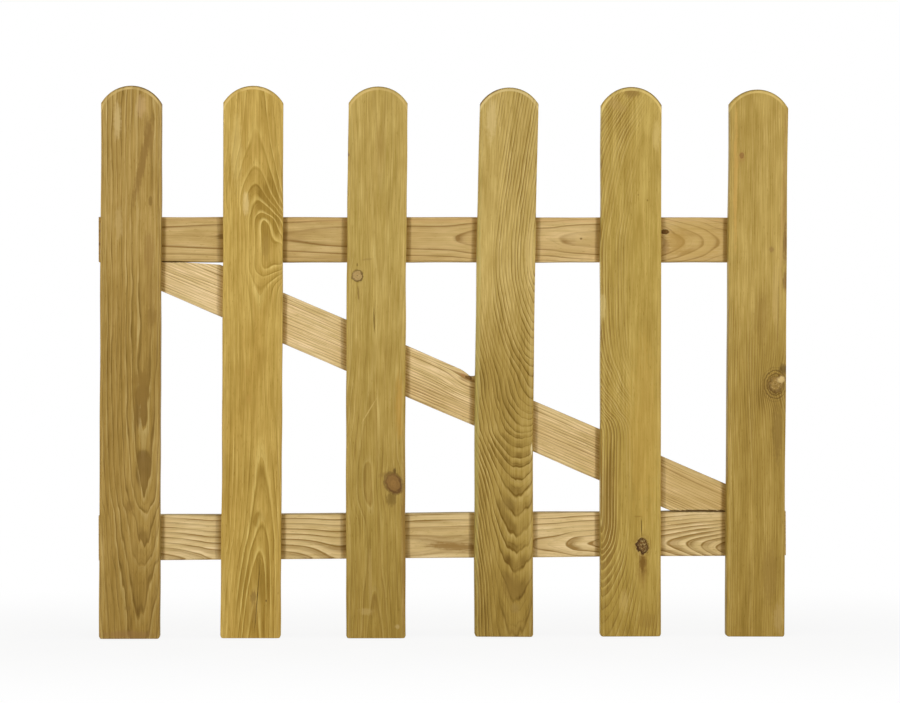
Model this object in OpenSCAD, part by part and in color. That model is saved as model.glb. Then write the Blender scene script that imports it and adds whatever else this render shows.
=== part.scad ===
// Picket gate: a loose leaf of round-topped pales on two rails, with a diagonal brace.
// X runs to the hinge side, Y from the pales' faces to the back, Z up.
// The origin lies on the back of the top rail, where the upper hinge is fastened.

/* [Pales] */
// Length of a pale from its foot to the top of its arch
pale_len = 800; // [720:1:1000]
// Width of a pale
pale_w = 86.6; // [70:0.1:95]
// Thickness of a pale
pale_t = 20; // [16:0.5:26]
// Radius of the arched top
tip_r = 50; // [49:0.5:120]
// Radius on the lower corners of a pale
foot_r = 3.5; // [1:0.1:8]

/* [Rails] */
// Length of both rails
rail_len = 1005; // [900:1:1200]
// Height of a rail
rail_h = 65.5; // [50:0.5:80]
// Thickness of the rails and the brace
rail_t = 28; // [22:0.5:40]
// How far a rail stands out past the outer pale
rail_overhang = 3.5; // [0:0.1:12]
// Height of the top rail's middle above the feet
top_rail_up = 579.3; // [540:0.1:640]
// Height of the bottom rail's middle above the feet
bottom_rail_up = 146.7; // [110:0.1:200]
// How much the top rail climbs along its length
top_rail_rise = 1.5; // [-6:0.1:6]
// How much the bottom rail climbs along its length
bottom_rail_rise = 4.3; // [-6:0.1:6]

/* [Brace] */
// Width of the brace across its length
brace_w = 68.7; // [62:0.1:76]
// From the rails' latch end to the brace's upper heel
heel_from_latch_end = 175.7; // [150:0.1:200]
// From the rails' hinge end to the brace's lower heel
heel_from_hinge_end = 168.4; // [145:0.1:190]
// Opening under the top rail at the upper heel
heel_gap = 4.3; // [1:0.1:8]
// Length of the slanted part of the upper end cut
heel_relief = 58; // [20:1:90]
// How far the brace's thin tips are cut back from the rail ends
tip_nip = 6; // [2:0.5:20]
// Gap between the brace's end cuts and the rails
brace_fit = 0.3; // [0.1:0.05:0.6]

/* [Knot chip in the brace] */
// From the rails' latch end to the chip's start
chip_from_end = 527; // [300:1:700]
// Length of the chip along the edge
chip_len = 23; // [8:1:40]
// Depth of the chip into the brace's width
chip_low = 4.2; // [1:0.1:10]
// Depth of the chip into the brace's thickness
chip_t = 15; // [5:0.5:20]

/* [Arrises] */
// Radius along the edges of the pales
pale_arris = 2.4; // [0.5:0.1:5]
// Radius along the edges of the rails and the brace
rail_arris = 2.5; // [0.5:0.1:6]

/* [Screws] */
// Diameter of the plain shank
screw_d = 4; // [3:0.5:5]
// How deep a screw bites into a pale
screw_bite = 12; // [8:0.5:14]
// Diameter of the countersunk head
head_d = 8; // [7:0.5:10]
// Height of the countersunk head
head_h = 2.4; // [1.5:0.1:3.5]
// Length of the point
point_len = 7; // [3:0.5:9]
// Depth of the head below the back face
head_sink = 0.3; // [0.1:0.1:1]
// Clearance between a screw and its hole
screw_fit = 0.05; // [0.02:0.01:0.2]
// Sideways distance of a screw from the middle of a crossing
screw_side = 18; // [10:1:24]
// Up or down distance of a screw from the middle of a rail
screw_rise = 14; // [8:1:16]
// Distance of a brace screw from the inner edge of an outer pale
brace_end_screw = 26; // [18:1:32]

/* [Seats for the fittings] */
// Distance of the hinge seats from the rails' hinge end
hinge_inset = 50; // [30:1:90]

/* [Hidden] */
$fn = 64;

// Each pale is sawn and fixed a little differently. The lists run from the latch side.
pale_shift = [0.3, -6.2, -8.6, -3.2, -2.0, 1.2];
pale_lean = [0.19, 0.3, 0.25, 0.53, 0.09, 0.38];
pale_width_extra = [0.8, 0.1, -0.4, -1.5, 1.9, -1.0];
pale_len_extra = [0.1, 0.7, 1.5, -0.3, 1.6, -0.2];
pale_foot_up = [0.3, 0.4, -0.6, 0.6, 0.2, -0.9];
tip_offset = [0, 0, 0, 2.4, 0, -1.6];

pale_count = len(pale_lean);
pitch = (rail_len - 2 * rail_overhang - pale_w) / (pale_count - 1);
back_y = pale_t + rail_t;
screw_len = rail_t + screw_bite;
hinge_x = rail_len - hinge_inset;
overcut = 2;

pale_colour = [0.69, 0.57, 0.3];
rail_colour = [0.75, 0.63, 0.4];
brace_colour = [0.81, 0.7, 0.49];
screw_colour = [0.62, 0.58, 0.47];

function width(k) = pale_w + pale_width_extra[k - 1];
function length_of(k) = pale_len + pale_len_extra[k - 1];
function pale_x(k) = rail_overhang + pale_w / 2 + (k - 1) * pitch + pale_shift[k - 1];
function pale_x_at(k, z) = pale_x(k) + (z - pale_len / 2) * tan(pale_lean[k - 1]);

function top_rail_z(x) = top_rail_up + (x / rail_len - 1 / 2) * top_rail_rise;
function bottom_rail_z(x) = bottom_rail_up + (x / rail_len - 1 / 2) * bottom_rail_rise;
function under_top_rail(x) = top_rail_z(x) - rail_h / 2;
function over_bottom_rail(x) = bottom_rail_z(x) + rail_h / 2;

upper_heel = [heel_from_latch_end, under_top_rail(heel_from_latch_end) - heel_gap];
lower_heel_x = rail_len - heel_from_hinge_end;
lower_heel = [lower_heel_x, over_bottom_rail(lower_heel_x) + brace_fit];
heel_drop = upper_heel.y - lower_heel.y;
heel_run = lower_heel.x - upper_heel.x;
brace_angle = atan2(heel_drop, heel_run) - asin(brace_w / norm([heel_run, heel_drop]));

function brace_top_z(x) = upper_heel.y - (x - upper_heel.x) * tan(brace_angle);
function brace_bottom_z(x) = lower_heel.y - (x - lower_heel.x) * tan(brace_angle);
function brace_mid_z(x) = (brace_top_z(x) + brace_bottom_z(x)) / 2;

// Where the screws go: two at each crossing, and one where the brace tapers out.
function rail_screw_places(k, z) = [
    for (side = [-1, 1]) [pale_x_at(k, z) + side * screw_side, z - side * screw_rise]
];
function top_rail_screw_places(k) = rail_screw_places(k, top_rail_z(pale_x(k)));
function bottom_rail_screw_places(k) = rail_screw_places(k, bottom_rail_z(pale_x(k)));
function latch_tip_screw(x) = [x, (under_top_rail(x) + brace_bottom_z(x)) / 2];
function hinge_tip_screw(x) = [x, (over_bottom_rail(x) + brace_top_z(x)) / 2];
function crossing_screw(x) = [x, brace_mid_z(x)];
function brace_screw_places(k) =
    k == 1 ? [latch_tip_screw(pale_x(k) + width(k) / 2 - brace_end_screw)] :
    k == pale_count ? [hinge_tip_screw(pale_x(k) - width(k) / 2 + brace_end_screw)] :
    [for (side = [-1, 1]) crossing_screw(pale_x_at(k, brace_mid_z(pale_x(k))) + side * screw_side)];
function pale_screw_places(k) =
    concat(top_rail_screw_places(k), bottom_rail_screw_places(k), brace_screw_places(k));
function along_all_pales(places) = [for (group = places) for (place = group) place];

// Moves a piece from the gate's lower latch corner to the part's own origin.
module in_place() {
    translate([-hinge_x, -back_y, -top_rail_z(hinge_x)]) children();
}

// A rectangle with rounded corners, centred.
module rounded_section(w, t, r) {
    square([w - 2 * r, t], center = true);
    square([w, t - 2 * r], center = true);
    for (sx = [-1, 1]) {
        for (sy = [-1, 1]) {
            translate([sx * (w / 2 - r), sy * (t / 2 - r)]) circle(r);
        }
    }
}

// The front outline of a pale: a wide arch on top and small rounded corners below.
module pale_outline(k) {
    w = width(k);
    arch_up = length_of(k) - tip_r;
    translate([tip_offset[k - 1], arch_up]) circle(tip_r, $fn = 180);
    translate([-w / 2, foot_r]) square([w, arch_up - foot_r]);
    translate([-w / 2 + foot_r, 0]) square([w - 2 * foot_r, 2 * foot_r]);
    for (side = [-1, 1]) translate([side * (w / 2 - foot_r), foot_r]) circle(foot_r);
}

// One screw as a turned form that starts at the back face and points to the front.
module screw_form(grow, start) {
    shank = screw_d / 2 + grow;
    head = head_d / 2 + grow;
    rotate([90, 0, 0]) rotate_extrude() polygon([
        [0, start], [head, start], [head, head_sink], [shank, head_sink + head_h],
        [shank, screw_len - point_len], [0, screw_len + grow]
    ]);
}

module screws(places) {
    for (place = places) translate([place.x, back_y, place.y]) screw_form(0, head_sink);
}

module screw_holes(places) {
    for (place = places) translate([place.x, back_y, place.y]) screw_form(screw_fit, -overcut);
}

module pale(k) {
    color(pale_colour) in_place() difference() {
        translate([pale_x(k), pale_t / 2, pale_len / 2])
        rotate([0, pale_lean[k - 1], 0])
        translate([0, 0, pale_foot_up[k - 1] - pale_len / 2])
        intersection() {
            translate([0, pale_t / 2 + overcut, 0])
            rotate([90, 0, 0]) linear_extrude(pale_t + 2 * overcut) pale_outline(k);
            translate([0, 0, -overcut]) linear_extrude(length_of(k) + 2 * overcut)
            rounded_section(width(k), pale_t, pale_arris);
        }
        screw_holes(pale_screw_places(k));
    }
}

// A board along X with rounded edges, centred.
module board(long, high) {
    rotate([90, 0, 90]) linear_extrude(long, center = true) rounded_section(rail_t, high, rail_arris);
}

module rail(mid_z, rise, places) {
    color(rail_colour) in_place() difference() {
        translate([rail_len / 2, pale_t + rail_t / 2, mid_z])
        rotate([0, -atan(rise / rail_len), 0]) board(rail_len, rail_h);
        screw_holes(along_all_pales(places));
    }
}

module top_rail() {
    rail(top_rail_up, top_rail_rise, [for (k = [1:pale_count]) top_rail_screw_places(k)]);
}

module bottom_rail() {
    rail(bottom_rail_up, bottom_rail_rise, [for (k = [1:pale_count]) bottom_rail_screw_places(k)]);
}

// The room between the rails that the brace is cut to, seen from the front.
module brace_room() {
    first = tip_nip;
    last = rail_len - tip_nip;
    relief_x = heel_from_latch_end - heel_relief;
    polygon([
        [first, under_top_rail(first) - brace_fit], [relief_x, under_top_rail(relief_x) - brace_fit],
        upper_heel, [last, upper_heel.y - overcut],
        [last, over_bottom_rail(last) + brace_fit], [first, over_bottom_rail(first) + brace_fit]
    ]);
}

// Where a knot on the brace's upper edge has broken out.
module chip_outline() {
    polygon([
        [0, 0], [chip_len * 2 / 3, -chip_low], [chip_len, -chip_low / 4],
        [chip_len, overcut], [0, overcut]
    ]);
}

module diagonal_brace() {
    mid_x = (upper_heel.x + lower_heel.x) / 2;
    color(brace_colour) in_place() difference() {
        intersection() {
            translate([mid_x, pale_t + rail_t / 2, brace_mid_z(mid_x)])
            rotate([0, brace_angle, 0]) board(rail_len * 2, brace_w);
            translate([0, back_y + overcut, 0])
            rotate([90, 0, 0]) linear_extrude(rail_t + 2 * overcut) brace_room();
        }
        translate([chip_from_end, pale_t + chip_t, brace_top_z(chip_from_end)])
        rotate([0, brace_angle, 0]) rotate([90, 0, 0]) linear_extrude(chip_t + overcut) chip_outline();
        screw_holes(along_all_pales([for (k = [1:pale_count]) brace_screw_places(k)]));
    }
}

module top_rail_screws(k) {
    color(screw_colour) in_place() screws(top_rail_screw_places(k));
}

module bottom_rail_screws(k) {
    color(screw_colour) in_place() screws(bottom_rail_screw_places(k));
}

module brace_screws(k) {
    color(screw_colour) in_place() screws(brace_screw_places(k));
}

for (k = [1:pale_count]) {
    pale(k);
    top_rail_screws(k);
    bottom_rail_screws(k);
    brace_screws(k);
}
top_rail();
bottom_rail();
diagonal_brace();
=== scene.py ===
# A picket gate leaf in treated softwood: six round-topped pales on two rails, with a diagonal brace.
# Lengths in the dictionaries are millimetres and colours are display values from 0 to 255.
# On a board, u runs across it, v along it and w into it from the front face.

import math
import random

import bmesh
import bpy
import numpy as np
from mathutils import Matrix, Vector


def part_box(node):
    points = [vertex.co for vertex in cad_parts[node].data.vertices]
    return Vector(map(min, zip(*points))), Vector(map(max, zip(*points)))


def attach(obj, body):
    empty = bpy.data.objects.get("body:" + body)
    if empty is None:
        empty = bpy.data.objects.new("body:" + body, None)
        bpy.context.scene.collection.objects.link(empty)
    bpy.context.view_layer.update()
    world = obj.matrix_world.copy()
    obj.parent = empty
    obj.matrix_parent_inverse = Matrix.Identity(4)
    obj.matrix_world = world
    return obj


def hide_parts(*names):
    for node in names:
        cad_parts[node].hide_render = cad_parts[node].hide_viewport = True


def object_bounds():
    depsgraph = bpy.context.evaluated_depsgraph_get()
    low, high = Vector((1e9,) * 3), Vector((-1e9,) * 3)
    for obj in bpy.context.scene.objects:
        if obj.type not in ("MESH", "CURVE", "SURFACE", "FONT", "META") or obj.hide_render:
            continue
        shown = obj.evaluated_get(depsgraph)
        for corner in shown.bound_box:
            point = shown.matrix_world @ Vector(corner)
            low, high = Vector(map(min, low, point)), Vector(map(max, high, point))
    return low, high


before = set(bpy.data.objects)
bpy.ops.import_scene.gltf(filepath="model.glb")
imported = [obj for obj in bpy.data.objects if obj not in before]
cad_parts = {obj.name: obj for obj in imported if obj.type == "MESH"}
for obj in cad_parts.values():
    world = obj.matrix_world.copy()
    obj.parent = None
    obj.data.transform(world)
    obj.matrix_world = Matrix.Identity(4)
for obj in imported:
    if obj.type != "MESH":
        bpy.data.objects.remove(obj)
cadLow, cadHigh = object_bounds()
leafMiddle = (cadLow + cadHigh) / 2
mm = 0.001
print("frame loaded with", len(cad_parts), "nodes")


# Camera: level with the middle of the leaf, a little to the latch side.
cameraSpec = {"lens": 99.1, "sensor": 36.0, "distance": 3.6, "turn": 2.45, "aimRight": 7.5, "aimUp": 15.4}


def aimed(name, data, location, aim):
    # a camera or lamp that looks from its place at its aim
    made = bpy.data.objects.new(name, data)
    made.location = location
    made.rotation_euler = (aim - made.location).to_track_quat("-Z", "Y").to_euler()
    bpy.context.scene.collection.objects.link(made)
    return made


def addCamera(spec):
    aim = Vector((leafMiddle.x + spec["aimRight"] * mm, cadLow.y, leafMiddle.z + spec["aimUp"] * mm))
    turn = math.radians(spec["turn"])
    data = bpy.data.cameras.new("camera")
    data.lens = spec["lens"]
    data.sensor_width = spec["sensor"]
    back = spec["distance"] * Vector((math.sin(turn), math.cos(turn), 0))
    bpy.context.scene.camera = aimed("camera", data, aim - back, aim)


addCamera(cameraSpec)
print("camera placed")


def linear(colour):
    # display values to the linear colour that a shader takes
    shares = [value / 255 for value in colour]
    bent = [s / 12.92 if s <= 0.04045 else ((s + 0.055) / 1.055) ** 2.4 for s in shares]
    return (*bent, 1.0)


def operator(operation):
    # the two forms of an operator: wire first, and wire second
    def plain(wire, other):
        return wire.sheet.node("ShaderNodeMath", {"operation": operation}, [wire, other])

    def reflected(wire, other):
        return wire.sheet.node("ShaderNodeMath", {"operation": operation}, [other, wire])

    return plain, reflected


class Wire:
    # One output of a shader node. Arithmetic on it adds Math nodes.
    __add__, __radd__ = operator("ADD")
    __sub__, __rsub__ = operator("SUBTRACT")
    __mul__, __rmul__ = operator("MULTIPLY")
    __truediv__, __rtruediv__ = operator("DIVIDE")
    __pow__, __rpow__ = operator("POWER")

    def __init__(self, sheet, socket):
        self.sheet = sheet
        self.socket = socket

    def __neg__(self):
        return self * -1

    def math(self, operation, *others):
        return self.sheet.node("ShaderNodeMath", {"operation": operation}, [self, *others])


class Sheet:
    # The node tree of a material or a world.
    def __init__(self, owner):
        owner.use_nodes = True
        self.owner = owner
        self.tree = owner.node_tree
        self.tree.nodes.clear()

    def node(self, kind, settings, values, output=0):
        made = self.tree.nodes.new(kind)
        for key, setting in settings.items():
            if key == "stops":
                self.shapeCurve(made, setting)
            else:
                setattr(made, key, setting)
        pairs = values.items() if isinstance(values, dict) else enumerate(values)
        for key, value in pairs:
            if isinstance(value, Wire):
                self.tree.links.new(value.socket, made.inputs[key])
            else:
                made.inputs[key].default_value = value
        return None if output is None else Wire(self, made.outputs[output])

    def shapeCurve(self, made, stops):
        # stops are (place, value), both from 0 to 1, with the ends at 0 and 1
        points = made.mapping.curves[0].points
        points[0].location = stops[0]
        points[1].location = stops[-1]
        for stop in stops[1:-1]:
            points.new(*stop)
        for point in points:
            point.handle_type = "AUTO_CLAMPED"
        made.mapping.update()

    def curve(self, place, stops):
        # a smooth value through stops of (place, value) in their own units
        start, end = stops[0][0], stops[-1][0]
        low = min(value for _, value in stops)
        reach = max(value for _, value in stops) - low
        if reach == 0:
            return place * 0 + low
        shares = [((at - start) / (end - start), (value - low) / reach) for at, value in stops]
        share = (place - start) / (end - start)
        return self.node("ShaderNodeFloatCurve", {"stops": shares}, {"Value": share}) * reach + low

    def smooth(self, value, low, high):
        # 0 below low, 1 above high, eased between
        ends = {"Value": value, "From Min": low, "From Max": high}
        return self.node("ShaderNodeMapRange", {"interpolation_type": "SMOOTHSTEP"}, ends)

    def fade(self, value, low, high):
        return 1 - self.smooth(value, low, high)

    def join(self, x, y, z):
        return self.node("ShaderNodeCombineXYZ", {}, [x, y, z])

    def noise(self, place, detail=2.0, roughness=0.5):
        values = {"Vector": place, "Scale": 1.0, "Detail": detail, "Roughness": roughness}
        return self.node("ShaderNodeTexNoise", {}, values)

    def mix(self, share, first, second, way="MIX"):
        # the colours are wires or display values
        first, second = (c if isinstance(c, Wire) else linear(c) for c in (first, second))
        settings = {"data_type": "RGBA", "blend_type": way}
        return self.node("ShaderNodeMix", settings, {0: share, 6: first, 7: second}, output=2)

    def outputs(self, wire, *names):
        # the named outputs of the node that a wire comes from
        return [Wire(self, wire.socket.node.outputs[name]) for name in names]

    def parts(self, vector):
        return self.outputs(self.node("ShaderNodeSeparateXYZ", {}, [vector]), "X", "Y", "Z")

    def objectPlace(self):
        return self.parts(self.node("ShaderNodeTexCoord", {}, {}, output="Object"))

    def seen(self):
        # 1 where the camera sees a thing straight, mirrored or through another, and 0 for other light
        ray = self.node("ShaderNodeLightPath", {}, {})
        straight, glossy, through = self.outputs(ray, "Is Camera Ray", "Is Glossy Ray", "Is Transmission Ray")
        return straight + glossy + through

    def finish(self, values, bump):
        shader = self.node("ShaderNodeBsdfPrincipled", {}, {**values, "Normal": bump})
        self.node("ShaderNodeOutputMaterial", {}, {"Surface": shader}, output=None)
        return self.owner


def newSheet(name):
    return Sheet(bpy.data.materials.new(name))


# Wood: what all nine timbers share. Reaches are across and along the board.
wood = {
    "bow": (0,),  # sideways bend, as factors of the powers of the place along the board
    "bowHalf": 400,  # half the length that the bend is counted on
    "round": 2.0,  # shape of the rings: a circle, or more pointed where it is less
    "hills": [],  # place, reach and how many rings the grain rises there
    "knots": [],  # dictionaries over knotForm
    "bold": [],  # places with stronger lines
    "quiet": [],  # places with weaker ones
    "stains": [],  # place, reach, colour, strength and, for some, a lean; most are stains, and a few on the rails and brace are painted shade in the joints
    "splits": [],  # place, reach and lean
    "burnt": (0, 0),  # side of an arch whose edge is darker, with a strength
    "apart": 17.3,  # how far one board's textures lie from the next one's
    "sway": (34, 210, 2.2),  # slow wander of the grain, with how far it goes
    "jag": (9, 60, 0.14),  # how ragged a ring's edge is, in rings
    "uneven": 0.3,  # how much the rings' widths differ, in rings
    "late": (0.45, 0.88),  # where in a ring the dark wood starts and is full
    "faint": 0.3,  # strength of the weak lines between the rings
    "faintCount": 2.6,  # weak lines for each ring
    "clear": (14, 90, 0.75),  # patches where the lines show more
    "cream": (224, 204, 146),
    "creamShare": 0.3,
    "band": (8, 420, 0.1),
    "streak": (2.0, 70, 0.26),
    "fibre": (0.9, 36, 0.28),
    "hair": (0.4, 26, 0.12),
    "dash": (0.9, 9, 0.25),
    "blotch": (12, 40, 0.2),
    "broad": (30, 230, 0.5),
    "deepen": (1.2, 2.1),  # how much faster green and blue fall than red as the wood darkens
    "crumb": (1.7, 1.7),
    "lump": (5, 5),
    "stainRim": (1.4, 26, 1.4),
    "speckle": (2.5, 6),
    "endShade": (216, 214, 200),
    # painted shade for faces turned away from the front
    "arrisShade": (232, 234, 224),
    "worn": (30, 60),
    "strip": (4.4, 0.6, 2.6),  # pale strip inside a long edge, partly wear and partly painted highlight: its middle, then its core and full reach
    # painted highlight inside the arch's rounded edge, then the shares of both strips
    "archStrip": (3.9, 0.9, 2.4),
    "edgeShare": 0.2,
    "archShare": 1.0,
    "char": (112, 82, 44),
    "groove": (84, 62, 26),
    # painted shade beside the pales: its colour, its reach from a pale and how far into the board it fades
    "damp": (214, 200, 164),
    "dampReach": 9,
    "dampDepth": (3.0, 9.0),
    "rough": 0.62,
    "bump": 0.8,
}

# Knots: what they share unless a knot says otherwise. Heavy is the way to the rim's darkest side,
# and a collar is the reach, the count and the strength of crowded rings round a knot.
knotForm = {
    "slant": 0,
    "pull": 0.9,  # how far the grain closes up beside the knot
    "ragged": 0.5,
    "proud": 0.3,
    "even": 0.5,  # least strength of the rim, away from its heavy side
    "rimShare": 0.6,
    "fleckShare": 0.7,
    "heart": 0.6,
}


def whole(piece, form):
    # a piece's own values over those that its kind and all timber share
    made = {**wood, **form, **piece}
    made["knots"] = [{**knotForm, **knot} for knot in made["knots"]]
    return made


def squared(value):
    return value * value


def farness(u, v, at, reach, slant=0):
    # distance from a place on the board, counted in the spot's own reaches, which may lean
    beside, beyond = u - at[0], v - at[1]
    if slant:
        beside = beside - beyond * slant
    return (squared(beside / reach[0]) + squared(beyond / reach[1])) ** 0.5


def mound(u, v, at, reach):
    return (-squared(farness(u, v, at, reach))).math("EXPONENT")


def bowed(v, bow):
    # sideways bend of a board at v
    share = v / wood["bowHalf"] - 1
    total = bow[-1]
    for factor in reversed(bow[:-1]):
        total = total * share + factor
    return total


def boardPlaces(sheet, place, bow):
    # across, into and along the board, in millimetres
    x, y, z = sheet.objectPlace()
    origin, along, across = place["origin"], place["along"], place["across"]
    right, up = (x - origin.x) / mm, (z - origin.z) / mm
    v = right * along[0] + up * along[1]
    u = right * across[0] + up * across[1] - bowed(v, bow)
    return u, (y - origin.y) / mm, v


def bentRoundKnots(knots, u, v):
    # grain parts at a knot and closes again behind it
    for knot in knots:
        middle = knot["at"][0]
        u = (u - middle) * (1 - mound(u, v, knot["at"], knot["bend"]) * knot["pull"]) + middle
    return u


def ringField(sheet, look, u, w, v):
    # how many rings lie between the tree's heart and a point
    power = look["round"]
    fromSide = (u - sheet.curve(v, look["side"])).math("ABSOLUTE")
    fromHeart = (sheet.curve(v, look["depth"]) + w).math("ABSOLUTE")
    rings = (fromSide**power + fromHeart**power) ** (1 / power) / look["gap"]
    for at, reach, height in look["hills"]:
        rings = rings + mound(u, v, at, reach) * height
    return rings


def ringLines(sheet, rings, start, full, bold=0.0):
    # dark late wood of each ring: a slow rise to a crisp end, then a pale line as the next ring starts
    count = rings.math("FLOOR")
    share = rings - count
    body = sheet.smooth(share, start - bold * 0.5, full - bold * 0.45)
    crisp = sheet.smooth(share, full - 0.14, full)
    line = (body * 0.45 + crisp * 0.55).math("MAXIMUM", body * bold)
    line = line * sheet.fade(share, full + 0.01, 1)
    after = sheet.fade(share, 0.0, 0.34)
    chance = sheet.node("ShaderNodeTexWhiteNoise", {"noise_dimensions": "1D"}, {"W": count + 0.5})
    return line, after, chance


def patches(sheet, u, v, spots, base, way):
    # base changed by each spot's amount, fading out at the spot's rim
    for at, reach, amount in spots:
        base = way(base, sheet.fade(farness(u, v, at, reach), 0.5, 1.15) * amount)
    return base


def woodMaterial(name, look, place):
    sheet = newSheet(name)
    u, w, v = boardPlaces(sheet, place, look["bow"])
    seed = look["seed"] * look["apart"]

    def streaks(wide, long, detail=2.0, roughness=0.5):
        return sheet.noise(sheet.join(u / wide, w / wide + seed, v / long), detail, roughness)

    def wander(kind, detail=2.0):
        # noise on both sides of nothing, as far as the kind reaches
        wide, long, reach = look[kind]
        return (streaks(wide, long, detail) - 0.5) * (2 * reach)

    # where the rings run
    parted = bentRoundKnots(look["knots"], u + wander("sway"), v)
    rings = ringField(sheet, look, parted, w, v) + wander("jag", 1.5)
    along = {"W": rings * 0.45 + seed, "Scale": 1.0}
    widths = sheet.node("ShaderNodeTexNoise", {"noise_dimensions": "1D"}, along)
    rings = rings + (widths - 0.5) * (2 * look["uneven"])

    # how clearly they show
    bold = patches(sheet, u, v, look["bold"], 0.0, lambda base, more: more + base)
    line, after, chance = ringLines(sheet, rings, *look["late"], bold)
    weakLine, _, weakChance = ringLines(sheet, rings * look["faintCount"] + seed, 0.5, 0.9)
    wide, long, reach = look["clear"]
    clear = sheet.smooth(streaks(wide, long), 0.32, 0.66) * reach + 0.5
    clear = patches(sheet, u, v, look["quiet"], clear, lambda base, less: base * (1 - less))
    dark = line * (chance * 0.6 + 0.5 + bold * 0.6) * clear + weakLine * weakChance * clear * look["faint"]
    colour = sheet.mix(dark.math("MINIMUM", 1.0), look["early"], look["lateWood"])
    pale = after * chance * clear * look["creamShare"]
    colour = sheet.mix(pale.math("MINIMUM", 1.0), colour, look["cream"])

    # broad drifts of tint, then blotches, fibres and resin dashes
    wide, long, reach = look["broad"]
    drift = sheet.smooth(streaks(wide, long), 0.38, 0.68) * reach
    colour = sheet.mix(drift, colour, look["tint"], "MULTIPLY")
    level = 1.0
    made = {}
    for kind in ("blotch", "band", "streak", "fibre", "hair"):
        wide, long, reach = look[kind]
        made[kind] = streaks(wide, long)
        level = (1 + (made[kind] - 0.5) * (2 * reach)) * level
    blotch, fibre, hair = made["blotch"], made["fibre"], made["hair"]
    wide, long, reach = look["dash"]
    dash = sheet.smooth(streaks(wide, long, 1.0), 0.66, 0.76)
    shade = sheet.curve(v, list(zip(look["shadeAt"], look["shade"]))) * (level * (1 - dash * reach))
    green, blue = look["deepen"]
    deeper = sheet.join(shade, shade**green, shade**blue)
    colour = sheet.node("ShaderNodeVectorMath", {"operation": "MULTIPLY"}, [colour, deeper])

    # stains and painted shade in the joints, knots and splits
    crumbs, lumps = streaks(*look["crumb"], 3.0, 0.6), streaks(*look["lump"], 1.0)
    wide, long, reach = look["stainRim"]
    ragged = (streaks(wide, long) - 0.5) * reach + (lumps - 0.5) * 0.6
    for at, reach, stainAndShadeColour, strength, *slant in look["stains"]:
        mask = sheet.fade(farness(u, v, at, reach, *slant) + ragged, 0.45, 1.15)
        colour = sheet.mix(mask * strength, colour, stainAndShadeColour)
    height = dark * 0.07 + fibre * 0.10 + hair * 0.05 - dash * 0.10 + blotch * 0.25
    for knot in look["knots"]:
        colour, height = addKnot(sheet, knot, u, v, crumbs, lumps, colour, height)
    for at, reach, slant in look["splits"]:
        gash = splitMask(sheet, u + (hair - 0.5) * 0.8, v, at, reach, slant)
        colour = sheet.mix(gash, colour, look["groove"])
        height = height - gash * 0.6
    # painted shade beside the pales that cross this board
    colour = paintedShadeBesidePales(sheet, place, look, w, streaks(*look["speckle"]), colour)
    colour = edgeWearAndPaintedLight(sheet, place, look, u, v, streaks(*look["worn"]), colour)

    roughness = look["rough"] + (blotch - 0.5) * 0.16 - dark * 0.06 + dash * 0.08
    bump = sheet.node("ShaderNodeBump", {}, {"Strength": look["bump"], "Distance": mm, "Height": height})
    values = {"Base Color": colour, "Roughness": roughness, "Specular IOR Level": 0.1}
    return sheet.finish(values, bump)


def edgeWearAndPaintedLight(sheet, place, look, u, v, edgeStripMottling, colour):
    # end grain drinks more of the treatment. The pale strip inside each long edge is partly handling wear and
    # partly a painted highlight on the rounded edge, and the strip inside the arch is a painted highlight.
    nx, ny, nz = sheet.parts(sheet.node("ShaderNodeNewGeometry", {}, {}, output="Normal"))
    facing = (nx * place["along"][0] + nz * place["along"][1]).math("ABSOLUTE")
    colour = sheet.mix(sheet.smooth(facing, 0.6, 0.9), colour, look["endShade"], "MULTIPLY")

    def strip(distance, kind, share):
        middle, core, full = look[kind]
        return sheet.fade((distance - middle).math("ABSOLUTE"), core, full) * look[share]

    strips = strip(place["wide"] / 2 - u.math("ABSOLUTE"), "strip", "edgeShare")
    if "arch" in place:
        radius, middle, tip = place["arch"]
        toArch = radius - (squared(u - tip) + squared((v - middle).math("MAXIMUM", 0.0))) ** 0.5
        strips = strips.math("MAXIMUM", strip(toArch, "archStrip", "archShare"))
    colour = sheet.mix(strips * sheet.smooth(edgeStripMottling, 0.25, 0.6), colour, look["edge"])
    side, share = look["burnt"]
    # one side of the arch's top is darker close to its edge
    if side:
        char = sheet.fade(toArch, 0.8, 2.9) * sheet.smooth(u * side, 6, 22)
        colour = sheet.mix(char * share, colour, look["char"])
    # painted shade: sides and rounded edges are darker the more they turn away from the front
    turnedAway = 1 - ny.math("ABSOLUTE")
    return sheet.mix(sheet.smooth(turnedAway, 0.3, 0.8), colour, look["arrisShade"], "MULTIPLY")


def paintedShadeBesidePales(sheet, place, look, w, speckle, colour):
    # painted shade: boards that pales cross are darker and warmer close beside each pale, where the pales'
    # shadows fall
    crossings = place.get("crossedBy", [])
    if not crossings:
        return colour
    damp = 0.0
    for pale, bow in crossings:
        u, _, _ = boardPlaces(sheet, pale, bow)
        beyond = u.math("ABSOLUTE") - pale["wide"] / 2 + speckle * 3 - 1.5
        damp = sheet.fade(beyond, 1.5, look["dampReach"]) + damp
    damp = damp.math("MINIMUM", 1.0) * sheet.fade(w, *look["dampDepth"])
    return sheet.mix(damp, colour, look["damp"], "MULTIPLY")


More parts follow.
